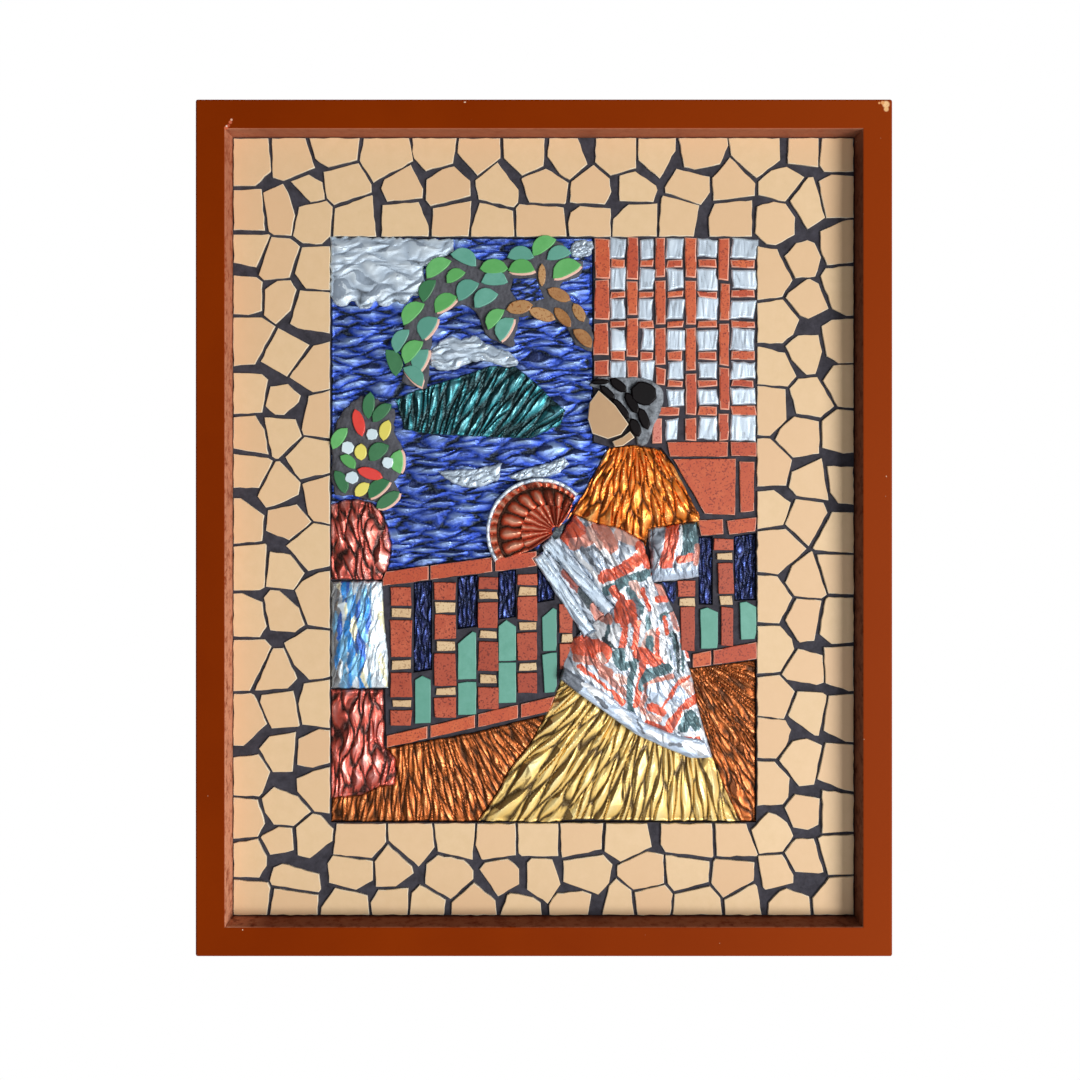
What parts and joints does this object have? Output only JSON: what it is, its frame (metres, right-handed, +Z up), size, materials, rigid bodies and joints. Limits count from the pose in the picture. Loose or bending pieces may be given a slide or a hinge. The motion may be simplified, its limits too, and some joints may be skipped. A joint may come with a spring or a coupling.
{
  "type": "framed mosaic panel",
  "caption": "Wall panel: a deep wooden box frame round a relief picture in cut tile, grout and crumpled coloured foil, with a wide border of broken tile.",
  "frame": {"origin": "centre of the flat back, where the panel lies against the wall", "axes": "+Z up along the panel's height, -Y out of the wall towards the viewer, +X to the viewer's right"},
  "size_m": [0.5, 0.035, 0.615],
  "materials": {
    "frame_lacquer": "gloss",
    "backing_board": "matte",
    "grout": "matte",
    "light_grout": "matte",
    "terracotta_tile": "satin",
    "beige_tile": "satin",
    "green_tile": "satin",
    "brown_tile": "satin",
    "bright_tile": "satin",
    "black_tile": "gloss",
    "blue_foil": "gloss",
    "silver_foil": "gloss",
    "teal_foil": "gloss",
    "red_foil": "gloss",
    "streaked_foil": "gloss",
    "copper_foil": "gloss",
    "gold_foil": "gloss",
    "orange_foil": "gloss",
    "printed_foil": "satin",
    "russet_foil": "gloss"
  },
  "bodies": {
    "root": {"frame_rail_top": "frame_lacquer", "frame_rail_right": "frame_lacquer", "frame_rail_bottom": "frame_lacquer", "frame_rail_left": "frame_lacquer", "backing_board": "backing_board", "grout_bed": "grout", "handrail_tile_1": "terracotta_tile", "handrail_tile_2": "terracotta_tile", "handrail_tile_3": "terracotta_tile", "plinth_tile_1": "terracotta_tile", "plinth_tile_2": "terracotta_tile", "plinth_tile_3": "terracotta_tile", "plinth_tile_4": "terracotta_tile", "right_plinth_tile_1": "terracotta_tile", "right_plinth_tile_2": "terracotta_tile", "wall_block_1": "terracotta_tile", "wall_block_2": "terracotta_tile", "wall_block_3": "terracotta_tile", "wall_block_4": "terracotta_tile", "wall_block_5": "terracotta_tile", "wall_block_6": "terracotta_tile", "sea_and_sky_foil": "blue_foil", "railing_foil_1": "blue_foil", "railing_foil_2": "blue_foil", "railing_foil_3": "blue_foil", "railing_foil_4": "blue_foil", "railing_foil_5": "blue_foil", "railing_foil_6": "blue_foil", "cloud_foil_left": "silver_foil", "cloud_foil_low": "silver_foil", "cloud_foil_corner": "silver_foil", "hill_foil": "teal_foil", "sail_foil_left": "silver_foil", "sail_foil_right": "silver_foil", "pillar_foil_top": "red_foil", "pillar_foil_middle": "streaked_foil", "pillar_foil_base": "red_foil", "floor_foil_left": "copper_foil", "floor_foil_right": "copper_foil", "skirt_foil": "gold_foil", "bodice_foil": "orange_foil", "shawl_foil": "printed_foil", "shawl_band_upper": "silver_foil", "shawl_band_lower": "silver_foil", "sleeve_foil": "printed_foil", "fan_foil": "russet_foil", "fan_rim": "silver_foil", "face_tile": "beige_tile", "neck_tile": "beige_tile", "hair_grout": "light_grout", "hair_tile_1": "black_tile", "hair_tile_2": "black_tile", "hair_tile_3": "black_tile", "hair_tile_4": "black_tile", "hair_tile_5": "black_tile", "hair_tile_6": "black_tile", "hair_tile_7": "black_tile", "hair_tile_8": "black_tile", "canopy_grout": "grout", "bush_grout": "grout"}
  },
  "joints": []
}
